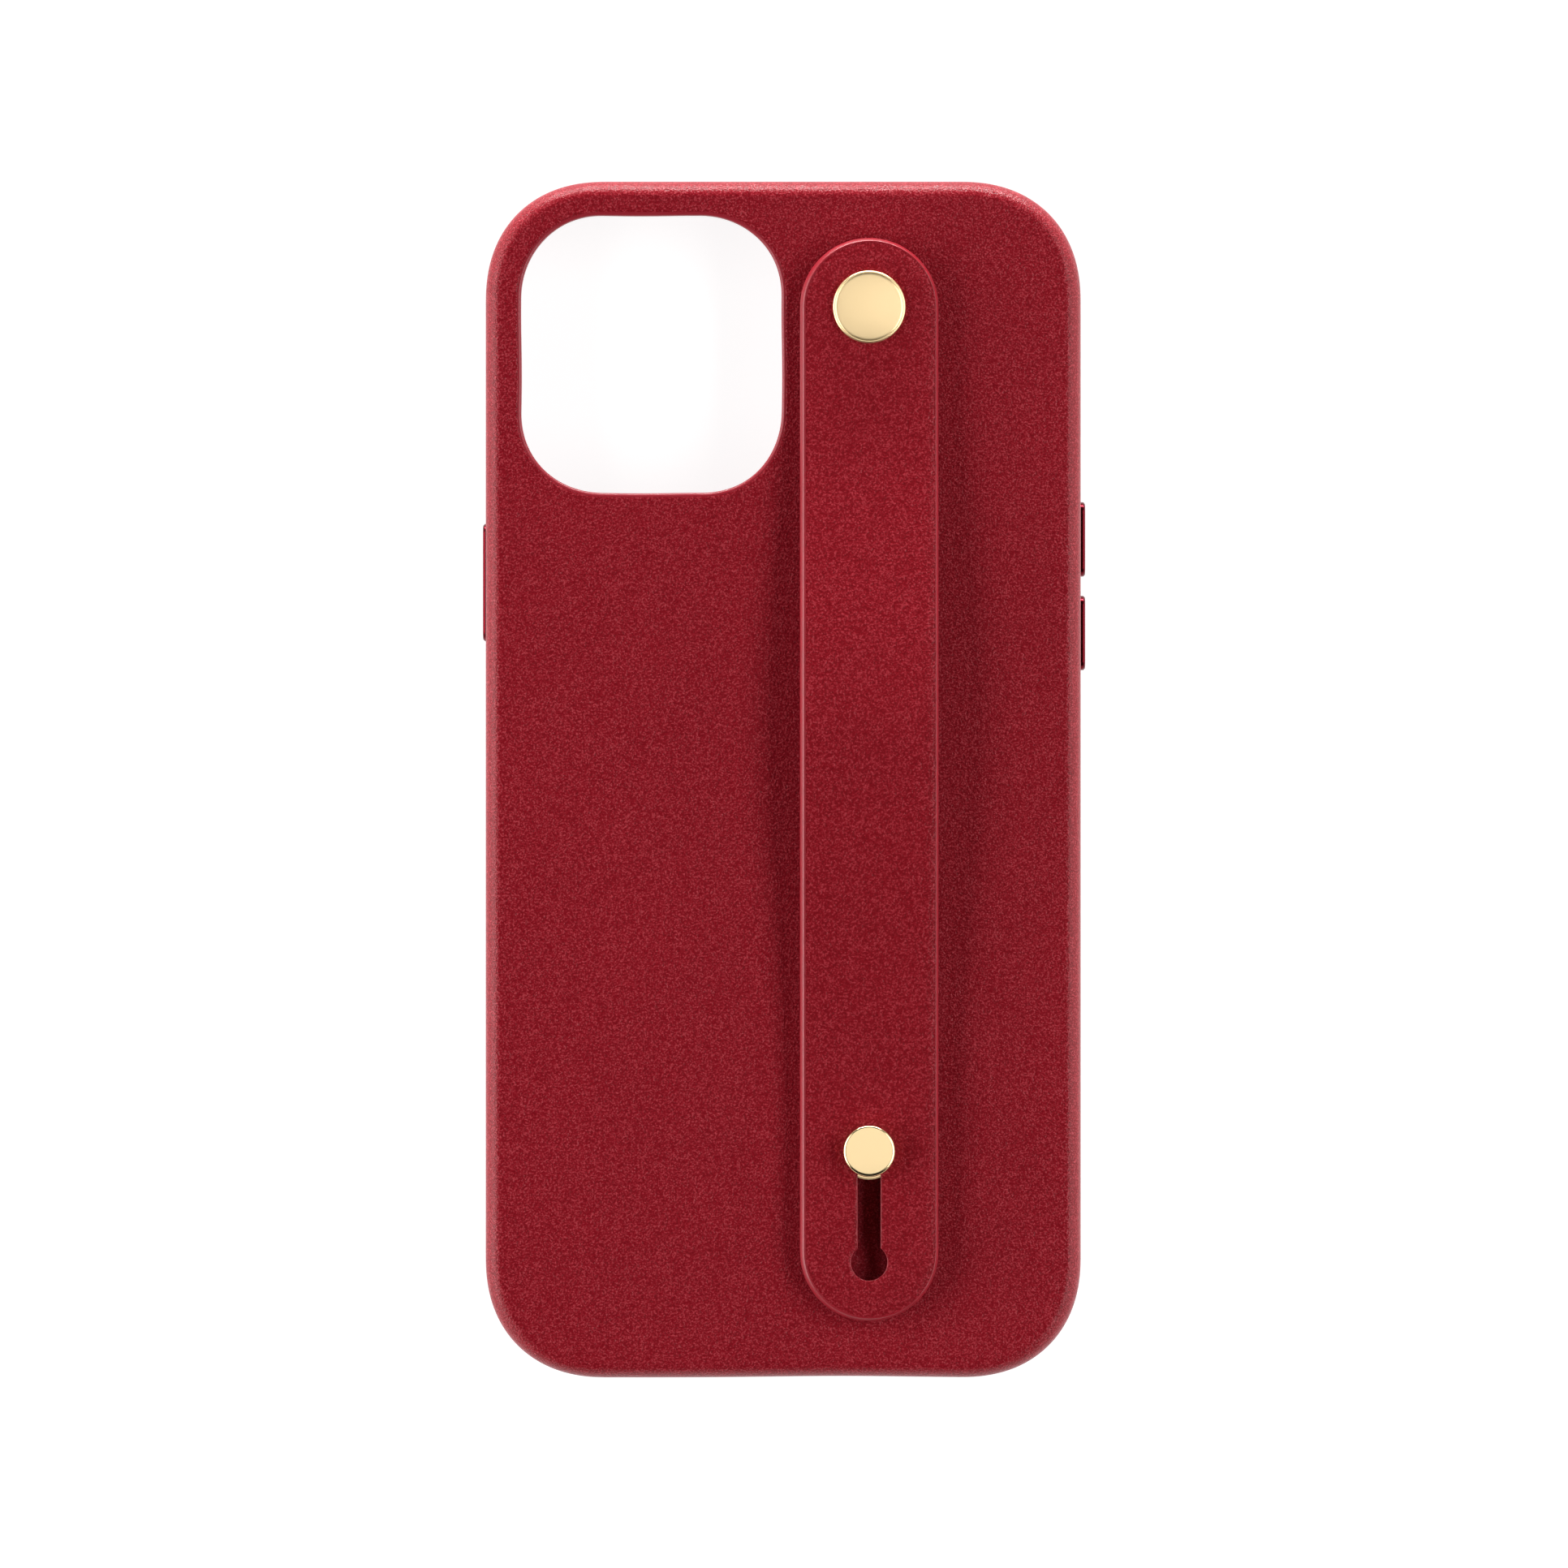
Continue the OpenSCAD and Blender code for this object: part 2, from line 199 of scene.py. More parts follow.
def grid_points(rings, spacing):
    """Staggered points inside the first ring and outside the others."""
    xs = [p[0] for p in rings[0]]
    ys = [p[1] for p in rings[0]]
    rows = max(1, round((max(ys) - min(ys)) / (spacing * ROW_SHARE)))
    points = []
    for row in range(1, rows):
        y = min(ys) + (max(ys) - min(ys)) * row / rows
        x = min(xs) + spacing * (0.5 if row % 2 else 0.0)
        while x < max(xs):
            p = (x, y)
            clear = all(not near(p, ring, spacing * EDGE_SHARE) for ring in rings)
            if clear and inside(p, rings[0]) and not any(inside(p, ring) for ring in rings[1:]):
                points.append(p)
            x += spacing
    return points


LATHE_STEPS = 96


class Builder:
    """Collects vertices (x, y, z in mm) and faces with a material index."""

    def __init__(self):
        self.verts = []
        self.faces = []
        self.mats = []

    def add(self, x, y, z):
        self.verts.append((x, y, z))
        return len(self.verts) - 1

    def face(self, indices, mat=0):
        self.faces.append(tuple(indices))
        self.mats.append(mat)

    def cap(self, rings, z, spacing):
        """Fills between rings of vertex indices, with a grid of points inside if spacing is given."""
        flat = [[self.verts[i][:2] for i in ring] for ring in rings]
        points = [Vector(p) for ring in flat for p in ring]
        index = [i for ring in rings for i in ring]
        edges = []
        first = 0
        for ring in rings:
            edges += [(first + i, first + (i + 1) % len(ring)) for i in range(len(ring))]
            first += len(ring)
        if spacing:
            for x, y in grid_points(flat, spacing):
                points.append(Vector((x, y)))
                index.append(self.add(x, y, z))
        out, _, triangles, origin, _, _ = delaunay_2d_cdt(points, edges, [], 0, 1e-5)
        final = [index[o[0]] if o else self.add(out[n].x, out[n].y, z) for n, o in enumerate(origin)]
        for triangle in triangles:
            cx = sum(out[i].x for i in triangle) / 3
            cy = sum(out[i].y for i in triangle) / 3
            if inside((cx, cy), flat[0]) and not any(inside((cx, cy), ring) for ring in flat[1:]):
                self.face([final[i] for i in triangle])

    def slab(self, loops, spacing=None):
        """A closed solid between outlines. Each loop is (outline, rows, mats): rows of (inset, z) from
        the top face over the edge to the bottom face, and a material for each step between rows."""
        tops, bottoms = [], []
        for outline, rows, mats in loops:
            rings = [[self.add(x - nx * d, y - ny * d, z) for x, y, nx, ny in outline] for d, z in rows]
            count = len(outline)
            for j in range(len(rows) - 1):
                mat = mats[j] if isinstance(mats, (list, tuple)) else mats
                for i in range(count):
                    k = (i + 1) % count
                    self.face((rings[j][i], rings[j][k], rings[j + 1][k], rings[j + 1][i]), mat)
            tops.append(rings[0])
            bottoms.append(rings[-1])
        top_z, bottom_z = loops[0][1][0][1], loops[0][1][-1][1]
        self.cap(tops, top_z, spacing)
        self.cap(bottoms, bottom_z, spacing)

    def lathe(self, rows, centre):
        """Turns rows of (radius, z) about a vertical line; a row of radius 0 is one point."""
        angles = [2 * math.pi * i / LATHE_STEPS for i in range(LATHE_STEPS)]
        rings = []
        for r, z in rows:
            ring = angles if r > 0 else angles[:1]
            places = [(centre[0] + r * math.cos(a), centre[1] + r * math.sin(a)) for a in ring]
            rings.append([self.add(x, y, z) for x, y in places])
        for a, b in zip(rings, rings[1:]):
            for i in range(LATHE_STEPS):
                k = (i + 1) % LATHE_STEPS
                if len(a) == 1:
                    self.face((a[0], b[i], b[k]))
                elif len(b) == 1:
                    self.face((a[i], b[0], a[k]))
                else:
                    self.face((a[i], b[i], b[k], a[k]))

    def make(self, name, materials, shape=None, smooth=35, grain=False):
        """Makes the object. shape moves each vertex, in mm, and smooth is the angle under which edges
        are smooth. grain keeps each vertex's flat place in a UV map, leaning with z so that the walls
        aren't streaked."""
        mesh = bpy.data.meshes.new(name)
        moved = [shape(*v) for v in self.verts] if shape else self.verts
        mesh.from_pydata([[c * MM for c in v] for v in moved], [], self.faces)
        mesh.polygons.foreach_set("material_index", self.mats)
        if grain:
            layer = mesh.uv_layers.new(name="grain")
            for loop in mesh.loops:
                x, y, z = self.verts[loop.vertex_index]
                lean = GRAIN_LEAN * z
                layer.data[loop.index].uv = ((x + lean) * GRAIN_UV, (y + lean) * GRAIN_UV)
        for material in materials:
            mesh.materials.append(material)
        obj = bpy.data.objects.new(name, mesh)
        bpy.context.scene.collection.objects.link(obj)
        clean(obj, smooth)
        return obj


GRAIN_UV = 0.005      # UV units to a millimetre
GRAIN_LEAN = 0.7      # millimetres along x and y to one of z


def clean(obj, smooth):
    work = bmesh.new()
    work.from_mesh(obj.data)
    bmesh.ops.remove_doubles(work, verts=work.verts, dist=1e-7)
    bmesh.ops.recalc_face_normals(work, faces=work.faces)
    work.to_mesh(obj.data)
    work.free()
    obj.data.shade_smooth()
    obj.data.set_sharp_from_angle(angle=math.radians(smooth))


def combine(obj, others, operation="DIFFERENCE", smooth=35):
    """Cuts the others out of obj, or joins them to it, and removes them."""
    for other in others:
        modifier = obj.modifiers.new("combine", "BOOLEAN")
        modifier.operation = operation
        modifier.solver = "EXACT"
        modifier.object = other
    bpy.context.view_layer.update()
    graph = bpy.context.evaluated_depsgraph_get()
    mesh = bpy.data.meshes.new_from_object(obj.evaluated_get(graph))
    obj.modifiers.clear()
    obj.data = mesh
    for other in others:
        bpy.data.objects.remove(other)
    clean(obj, smooth)


# ---------- materials ----------

class Shader:
    """A small helper that builds a procedural material node by node."""

    def __init__(self, name):
        self.material = bpy.data.materials.new(name)
        self.material.use_nodes = True
        self.nodes = self.material.node_tree.nodes
        self.links = self.material.node_tree.links
        self.bsdf = self.nodes["Principled BSDF"]

    def set(self, **values):
        """Sets sockets of the Principled shader by name, with underscores for spaces."""
        for key, value in values.items():
            self.bsdf.inputs[key.replace("_", " ")].default_value = value

    def node(self, kind, **values):
        node = self.nodes.new(kind)
        for key, value in values.items():
            if key.startswith("in_"):
                node.inputs[key[3:].replace("_", " ")].default_value = value
            else:
                setattr(node, key, value)
        return node

    def link(self, a, b):
        self.links.new(a, b)

    def vector(self, from_uv=False):
        """Coordinates in millimetres, from the object or from the grain map."""
        if from_uv:
            source = self.node("ShaderNodeUVMap", uv_map="grain").outputs["UV"]
        else:
            source = self.node("ShaderNodeTexCoord").outputs["Object"]
        unit = GRAIN_UV if from_uv else MM
        scale = self.node("ShaderNodeVectorMath", operation="SCALE", in_Scale=1 / unit)
        self.link(source, scale.inputs[0])
        return scale.outputs[0]

    def noise(self, vector, scale, detail=2.0, roughness=0.5, distortion=0.0):
        node = self.node("ShaderNodeTexNoise", in_Scale=scale, in_Detail=detail, in_Roughness=roughness,
                         in_Distortion=distortion)
        self.link(vector, node.inputs["Vector"])
        return node.outputs["Fac"]

    def cells(self, vector, scale, smoothness):
        node = self.node("ShaderNodeTexVoronoi", feature="SMOOTH_F1", in_Scale=scale,
                         in_Smoothness=smoothness)
        self.link(vector, node.inputs["Vector"])
        return node.outputs["Distance"]

    def math(self, operation, a, b):
        node = self.node("ShaderNodeMath", operation=operation)
        for socket, value in zip(node.inputs, (a, b)):
            if isinstance(value, (int, float)):
                socket.default_value = value
            else:
                self.link(value, socket)
        return node.outputs[0]

    def spread(self, value, low, high, to_low, to_high):
        node = self.node("ShaderNodeMapRange", in_From_Min=low, in_From_Max=high, in_To_Min=to_low,
                         in_To_Max=to_high)
        self.link(value, node.inputs["Value"])
        return node.outputs["Result"]

    def mix(self, fac, a, b):
        """Mixes two colours; sockets 0, 6 and 7 and output 2 are a Mix node's colour ones."""
        node = self.node("ShaderNodeMix", data_type="RGBA")
        for socket, value in ((node.inputs[0], fac), (node.inputs[6], a), (node.inputs[7], b)):
            if hasattr(value, "is_output"):
                self.link(value, socket)
            else:
                socket.default_value = value
        return node.outputs[2]

    def bump(self, height, distance):
        node = self.node("ShaderNodeBump", in_Strength=1.0, in_Distance=distance)
        self.link(height, node.inputs["Height"])
        return node.outputs["Normal"]

    def warp(self, vector, scale, amount):
        """Moves coordinates about by a noise, so that cells don't look drawn with a ruler."""
        noise = self.node("ShaderNodeTexNoise", in_Scale=scale, in_Detail=1.0)
        self.link(vector, noise.inputs["Vector"])
        shift = self.node("ShaderNodeVectorMath", operation="SCALE", in_Scale=amount)
        self.link(noise.outputs["Color"], shift.inputs[0])
        total = self.node("ShaderNodeVectorMath", operation="ADD")
        self.link(vector, total.inputs[0])
        self.link(shift.outputs[0], total.inputs[1])
        return total.outputs[0]


def rgb(r, g, b):
    return (r, g, b, 1.0)


def pebbled(name, from_uv, cell, colours, roughness, depth):
    """Fine pebble grain: small domes with painted glints on their crowns, painted shade in the creases between
    them, soft folds. cell is a pebble's size and depth the bump's, in mm. colours are for the body, a lighter
    drift of it, the creases' painted shade and the crowns' painted glints. Noise scales are per millimetre."""
    body, drift, crease_shade, crown = colours
    s = Shader(name)
    flat = s.vector(from_uv)
    place = s.warp(flat, 0.8 / cell, cell * 0.5)
    dome = s.spread(s.cells(place, 1.0 / cell, 0.3), 0.12, 0.62, 1.0, 0.0)
    grain = s.noise(place, 1.9 / cell, 1.0, 0.5)
    fine = s.noise(flat, 2.6 / cell, 3.0, 0.6)
    slow = s.noise(flat, 0.07, 3.0, 0.55)
    folds = s.noise(place, 0.42 / cell, 2.0, 0.5, 0.4)
    height = s.math("MULTIPLY", grain, 1.5)
    for share_of, share in ((fine, 0.3), (dome, 0.4), (folds, 0.4)):
        height = s.math("ADD", height, s.math("MULTIPLY", share_of, share))
    s.link(s.bump(height, depth * MM), s.bsdf.inputs["Normal"])
    colour = s.mix(s.spread(slow, 0.35, 0.65, 0.0, 1.0), body, drift)
    # Painted shade: the creases are darkened in colour where shade would fall between the pebbles.
    colour = s.mix(s.spread(grain, 0.32, 0.52, 0.45, 0.0), colour, crease_shade)
    # Painted highlights: the pebbles' crowns are lightened towards a pinkish colour that stands in for specular
    # glints.
    crown_glint = s.math("MULTIPLY", s.spread(grain, 0.50, 0.68, 0.0, 1.0), s.spread(fine, 0.38, 0.58, 0.4, 1.0))
    s.link(s.mix(s.math("MULTIPLY", crown_glint, 0.65), colour, crown), s.bsdf.inputs["Base Color"])
    s.link(s.spread(fine, 0.3, 0.7, roughness + 0.08, roughness - 0.06), s.bsdf.inputs["Roughness"])
    s.set(Specular_IOR_Level=0.25)
    return s.material


def smooth_edge(name, base, roughness):
    """Painted leather edge: satin, with faint brush unevenness and a slightly darker drift."""
    s = Shader(name)
    place = s.vector()
    slow = s.noise(place, 0.7, 3.0, 0.55)
    drift = rgb(*(c * 0.86 for c in base[:3]))
    s.link(s.mix(s.spread(slow, 0.3, 0.7, 0.0, 1.0), base, drift), s.bsdf.inputs["Base Color"])
    s.link(s.spread(slow, 0.3, 0.7, roughness - 0.05, roughness + 0.06), s.bsdf.inputs["Roughness"])
    s.link(s.bump(s.noise(place, 1.1, 1.0), 0.012 * MM), s.bsdf.inputs["Normal"])
    s.set(Specular_IOR_Level=0.5)
    return s.material


def moulded(name, base, roughness):
    """Moulded plastic or rubber with a fine spark-eroded texture."""
    s = Shader(name)
    place = s.vector()
    s.set(Base_Color=base, Specular_IOR_Level=0.45)
    s.link(s.spread(s.noise(place, 0.4, 2.0), 0.3, 0.7, roughness - 0.04, roughness + 0.05),
           s.bsdf.inputs["Roughness"])
    s.link(s.bump(s.noise(place, 3.0, 3.0, 0.6), 0.012 * MM), s.bsdf.inputs["Normal"])
    return s.material


def nap(name, base, tip):
    """Microfibre: short fibres that stand in soft patches."""
    s = Shader(name)
    place = s.vector()
    patches = s.noise(place, 0.16, 3.0, 0.6)
    fibres = s.noise(place, 7.0, 3.0, 0.7)
    s.link(s.mix(s.spread(s.math("ADD", patches, s.math("MULTIPLY", fibres, 0.5)), 0.5, 1.0, 0.0, 1.0),
                 base, tip), s.bsdf.inputs["Base Color"])
    s.link(s.bump(fibres, 0.08 * MM), s.bsdf.inputs["Normal"])
    s.set(Roughness=0.9, Specular_IOR_Level=0.2, Sheen_Weight=0.5, Sheen_Roughness=0.5,
          Sheen_Tint=rgb(1.0, 0.62, 0.62))
    return s.material


def metal(name, base, roughness, scratch=0.0):
    """Metal with faint uneven roughness, and fine scratches where scratch gives their depth in mm."""
    s = Shader(name)
    place = s.vector()
    s.set(Base_Color=base, Metallic=1.0)
    s.link(s.spread(s.noise(place, 1.3, 3.0), 0.3, 0.7, roughness * 0.93, roughness * 1.1),
           s.bsdf.inputs["Roughness"])
    if scratch:
        s.link(s.bump(s.noise(place, 9.0, 2.0), scratch * MM), s.bsdf.inputs["Normal"])
    return s.material


# Each grain's crease colour is painted shade, and its last colour gives the pebbles' crowns painted glints.
CREASE_SHADE_COLOUR = rgb(0.1111, 0.0003, 0.0022)
case_grain = (rgb(0.2430, 0.0031, 0.0110), rgb(0.2541, 0.0034, 0.0115), CREASE_SHADE_COLOUR,
              rgb(0.5481, 0.0704, 0.0889))
strap_grain = (rgb(0.2333, 0.0037, 0.0105), rgb(0.2444, 0.0040, 0.0111), CREASE_SHADE_COLOUR,
               rgb(0.5185, 0.0556, 0.0741))
backing_grain = (rgb(0.2444, 0.0104, 0.0163), rgb(0.2593, 0.0119, 0.0178), rgb(0.1481, 0.0044, 0.0074),
                 rgb(0.3111, 0.0296, 0.0370))
GOLD = rgb(0.86, 0.65, 0.36)

case_leather = pebbled("case_leather", False, 0.44, case_grain, 0.34, 0.055)
strap_leather = pebbled("strap_leather", True, 0.46, strap_grain, 0.34, 0.05)
backing_leather = pebbled("backing_leather", True, 0.5, backing_grain, 0.5, 0.02)
edge_paint = smooth_edge("edge_paint", rgb(0.3111, 0.0089, 0.0193), 0.35)
turned_edge = smooth_edge("turned_edge", rgb(0.2519, 0.0104, 0.0178), 0.36)
shell_plastic = moulded("shell_plastic", rgb(0.2963, 0.0148, 0.0259), 0.34)
microfibre = nap("microfibre", rgb(0.1481, 0.0059, 0.0104), rgb(0.2667, 0.0222, 0.0333))
silicone = moulded("silicone", rgb(0.07, 0.006, 0.009), 0.6)
anodised = metal("anodised_red", rgb(0.1481, 0.0074, 0.0133), 0.2)
satin_gold = metal("satin_gold", GOLD, 0.33)
polished_gold = metal("polished_gold", GOLD, 0.16)
steel = metal("steel", rgb(0.62, 0.61, 0.60), 0.3, scratch=0.004)


# ---------- case ----------

def side_pill(side, at, l, w, outside, depth, rows=None, name="cutter", materials=()):
    """A pill that points into a side wall: side is +1 or -1 for X, or 0 for the port end, and at is its
    place along that wall. rows of (inset, height above the wall) replace its plain straight sides."""
    b = Builder()
    b.slab([(with_normals(pill_points(l, w)), rows or [(0, outside), (0, -depth)], 0)])
    if side:
        turn = Matrix(((0, 0, side), (1, 0, 0), (0, 1, 0)))
        base = Vector((side * case_w / 2, at, PORT_Z))
    else:
        turn = Matrix(((1, 0, 0), (0, 0, -1), (0, 1, 0)))
        base = Vector((at, case_low.y, PORT_Z))
    return b.make(name, materials, lambda x, y, z: base + turn @ Vector((x, y, z)))


def upright(at, r, low, high):
    """A round cutter along Z."""
    b = Builder()
    b.slab([(with_normals(circle_points(r, (at.x, at.y))), [(0, high), (0, low)], 0)])
    return b.make("cutter", [])


BUTTONS = {"side_button": -1, "volume_up_button": 1, "volume_down_button": 1}   # each one's side along X
# How far a button stands out of the wall. The side button's is less than in the CAD, as in the photo.
SHOWN_PROUD = {"side_button": 0.42, "volume_up_button": 0.65, "volume_down_button": 0.65}
BUTTON_W = 3.4
BUTTON_DEPTH = 0.35
STEM_W = 1.6
STEM_SHORTER = 3.3    # than its button
STEM_DEPTH = 1.5
CLIP_W = 3.8          # pocket inside the wall for the clip and the gasket
CLIP_LONGER = 1.7     # than the button
CLIP_DEPTH = 2.2
WEB_DEPTH = 1.25      # from the outline to that pocket
FIT_GAP = 0.2         # beside a button in the leather; half of it beside a stem
FASTENER_R = 1.75     # holes for the rivet and the stud
RECESS_R = 4.2        # for their bases, in the shell's floor
RECESS_CUT = 1.0
mute_low, mute_high = opening_mm("mute_switch_window")
mute_y = (mute_low.y + mute_high.y) / 2
MUTE = (10.5, 5.0)    # length and width of each opening
PORT = (12.5, 6.0)
SPEAKER = (14.0, 2.4)
SPEAKER_X = 17.0
CORNER_STEPS = 36


def button_span(node):
    low, high = box_mm(node)
    return (low.y + high.y) / 2, high.y - low.y


def port_cutters(grow):
    """Cutters for the mute switch window, the charging port and the two speaker slots."""
    holes = [(1, mute_y, MUTE), (0, 0, PORT), (0, -SPEAKER_X, SPEAKER), (0, SPEAKER_X, SPEAKER)]
    return [side_pill(side, at, l + 2 * grow, w + 2 * grow, 2, 6) for side, at, (l, w) in holes]


def hand_wrapped(x, y):
    """The slight unevenness of leather pulled round the outline by hand, in mm."""
    dip = DIP * math.exp(-((x - DIP_X) / DIP_REACH) ** 2) if y < case_low.y + 1 else 0.0
    return x, y + dip


def case_outline():
    corners = rounded_rectangle(case_w, case_l, CORNER_R, CORNER_POWER, CORNER_STEPS)
    return with_normals([hand_wrapped(x, y) for x, y in corners])


window_low, window_high = opening_mm("camera_window")
window_at = ((window_low.x + window_high.x) / 2, (window_low.y + window_high.y) / 2)


def window_outline(grow):
    """The camera window's outline, grown on each side and slightly wavy, as the leather's cut edge is."""
    points = rounded_rectangle(WINDOW_W + 2 * grow, WINDOW_L + 2 * grow, WINDOW_R + grow, WINDOW_POWER,
                               WINDOW_STEPS, 1.5, window_at)
    wavy = [(x + 0.05 * math.sin(y * 0.35 + 1.0), y + 0.04 * math.sin(x * 0.4)) for x, y in points]
    return with_normals(wavy, hole=True)


def make_leather_cover():
    """The leather: the back, the roll over its edge, the walls, a rounded lower edge and the inside."""
    z = back_z
    outer = [(ROLL_W + 0.25, z)]
    for i in range(ROLL_STEPS + 1):
        a = math.radians(90 - 90 * i / ROLL_STEPS)
        outer.append((ROLL_W * (1 - math.cos(a)), z - EDGE_R * (1 - math.sin(a))))
    outer += [(0, 2.5), (0, 0.9)]
    outer += quarter(0.3, 0.75, 0.3, 0, -90, 3)
    outer += quarter(LEATHER_T - 0.2, 0.65, 0.2, -90, -180, 2)
    outer += quarter(EDGE_R, z - EDGE_R, EDGE_R - LEATHER_T, 0, 90, 8)
    outer += [(EDGE_R + 0.3, z - LEATHER_T)]
    edge = [(0.8, z), (0.3, z), (0.03, z), (0, z - 0.02), (0, z - 0.2), (0, z - 0.4)]
    edge += [(0, z - LEATHER_T)]
    b = Builder()
    b.slab([(case_outline(), outer, 0), (window_outline(COLLAR_W + COLLAR_GAP), edge, [0, 0, 0, 1, 1, 1])])
    obj = b.make("leather_cover_skin", [case_leather, turned_edge])
    cutters = port_cutters(PORT_GROW)
    for node, side in BUTTONS.items():
        at, l = button_span(node)
        cutters.append(side_pill(side, at, l + 2 * FIT_GAP, BUTTON_W + 2 * FIT_GAP, 2, 2))
    for node in ("rivet_cap", "stud"):
        cutters.append(upright(middle_mm(node), FASTENER_R, back_z - 2, back_z + 1))
    combine(obj, cutters)
    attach(obj, "case")
    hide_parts("leather_cover")


def make_shell():
    """The moulded shell: under the leather outside, with the lip in front, and bare round the window."""
    top, floor, lip_in, lip_z = SHELL_TOP, SHELL_FLOOR, 2.85, 1.2
    outer = [(EDGE_R + 0.9, top)]
    outer += quarter(EDGE_R, back_z - EDGE_R, EDGE_R - LEATHER_T, 90, 0, 8)
    outer += [(LEATHER_T, 0.45), (0.2, 0.45), (0.15, 0.4), (0.15, 0.25)]
    outer += quarter(0.4, 0.25, 0.25, 0, -90, 4)
    outer += [(lip_in - 0.5, 0)]
    outer += quarter(lip_in - 0.4, 0.4, 0.4, -90, -180, 5)
    outer += quarter(lip_in - 0.35, lip_z - 0.35, 0.35, -180, -270, 5)
    outer += [(WALL_IN + 0.15, lip_z), (WALL_IN, lip_z + 0.15), (WALL_IN, floor - 0.4)]
    outer += quarter(WALL_IN + 0.4, floor - 0.4, 0.4, 0, 90, 4)
    outer += [(WALL_IN + 1.2, floor)]
    rim_z, round_r = back_z - 0.01, 0.48
    collar = [(COLLAR_W + 0.3, top), (COLLAR_W, top), (COLLAR_W, rim_z - 0.01), (COLLAR_W - 0.01, rim_z)]
    collar += quarter(round_r, rim_z - round_r, round_r, 90, 0, 7)
    collar += quarter(0.3, floor + 0.3, 0.3, 0, -90, 4)
    collar += [(0.8, floor)]
    b = Builder()
    b.slab([(case_outline(), outer, 0), (window_outline(0), collar, 0)])
    obj = b.make("moulded_shell", [shell_plastic])
    cutters = port_cutters(0)
    for node, side in BUTTONS.items():
        at, l = button_span(node)
        cutters.append(side_pill(side, at, l - STEM_SHORTER + FIT_GAP, STEM_W + FIT_GAP, 1, 4))
        cutters.append(side_pill(side, at, l + CLIP_LONGER, CLIP_W, -WEB_DEPTH, CLIP_DEPTH))
    for node in ("rivet_washer", "stud_washer"):
        at = middle_mm(node)
        cutters.append(upright(at, RECESS_R, floor - 1, floor + RECESS_CUT))
        cutters.append(upright(at, FASTENER_R, floor, top + 1))
    combine(obj, cutters)
    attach(obj, "case")
    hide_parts("shell")


def make_button(node, side):
    """A metal bar with bright chamfered edges, on the stem that passes through the wall."""
    at, l = button_span(node)
    top = SHOWN_PROUD[node]
    rows = [(0.9, top), (0.28, top), (0.22, top - 0.02), (0.03, top - 0.21), (0, top - 0.27)]
    rows += [(0, -BUTTON_DEPTH + 0.06), (0.06, -BUTTON_DEPTH), (0.5, -BUTTON_DEPTH)]
    obj = side_pill(side, at, l, BUTTON_W, 0, 0, rows, node + "_bar", [anodised])
    stem = side_pill(side, at, l - STEM_SHORTER, STEM_W, 0, STEM_DEPTH)
    combine(obj, [stem], "UNION", 30)
    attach(obj, node)
    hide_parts(node)


make_leather_cover()
make_shell()
for node, side in BUTTONS.items():
    make_button(node, side)


# ---------- strap ----------

STRAP_W = 19.0
LAYER_T = 1.1
HALF_W = STRAP_W / 2
hinge_names = ["strap_lift", "strap_bend_1", "strap_bend_2", "strap_crown", "strap_bend_3", "strap_bend_4",
               "strap_tail_level"]
hinges = [Vector(joints[name]["pos_m"]) / MM for name in hinge_names]
strap_x = hinges[0].x
strap_top_y = box_mm("strap_face_1")[1].y
strap_tip_y = box_mm("strap_face_8")[0].y
lengths = [(b - a).length for a, b in zip(hinges, hinges[1:])]
slopes = [math.atan2(b.z - a.z, a.y - b.y) for a, b in zip(hinges, hinges[1:])]
turns = [b - a for a, b in zip([0.0] + slopes, slopes + [0.0])]
stations = [sum(lengths[:i]) for i in range(len(hinges))]
reaches = [5.0, 6.1, 6.1, 6.1, 6.1, 6.1, 5.0]   # each bend's length on each side of its hinge
STEP = 0.05
LEAD = 20.0           # flat run traced before the first hinge
TRAIL = 40.0          # and after the last


def slope_at(s):
    """The strap's slope at rest, in radians, at the distance s along it from the first hinge."""
    total = 0.0
    for station, turn, reach in zip(stations, turns, reaches):
        t = min(1.0, max(0.0, (s - station + reach) / (2 * reach)))
        total += turn * t * t * (3 - 2 * t)
    return total


def trace_strap():
    """Centreline points every STEP along the strap, from the rivet's end to the tip."""
    s = -LEAD
    y, z = hinges[0].y + LEAD, hinges[0].z
    path = []
    while s < stations[-1] + TRAIL:
        path.append((y, z, slope_at(s)))
        middle = slope_at(s + STEP / 2)
        y -= STEP * math.cos(middle)
        z += STEP * math.sin(middle)
        s += STEP
    return path


strap_path = trace_strap()


def on_strap(x, flat_y, z):
    """Bends a point of the flat strap: flat_y runs along it from the first hinge's y, z is off its middle."""
    s = hinges[0].y - flat_y
    place = (s + LEAD) / STEP
    i = min(len(strap_path) - 2, max(0, int(place)))
    t = place - i
    (ya, za, a), (yb, zb, b) = strap_path[i], strap_path[i + 1]
    slope = a + (b - a) * t
    return (strap_x + x, ya + (yb - ya) * t + z * math.sin(slope), za + (zb - za) * t + z * math.cos(slope))


flat_hinges = [hinges[0].y - s for s in stations]
cuts = [hinges[0].y - (a + b) / 2 for a, b in zip(stations, stations[1:])]
flat_tail = flat_hinges[-1] - hinges[-1].y   # what the bow adds to the tail's flat y
stud_y = middle_mm("stud").y + flat_tail
HOLE_R = 2.5
SLOT_HALF_W = 1.575
SLOT_PARTS = 18       # steps along each side of the slot
KEYHOLE_RUN = 15.309  # from the stud's middle at rest to the hole's middle
hole_y = stud_y - KEYHOLE_RUN
tip_y = strap_tip_y + flat_tail
EDGE_STEP = 0.7
END_STEPS = 40        # in a round end of the strap
COLUMN_STEP = 1.25    # across the strap, on a cut
LEFT_INSET = 1.0      # share of a profile's insets on the strap's left side
RIGHT_INSET = 0.5
FACE_GRID = 1.1       # spacing of points inside the face


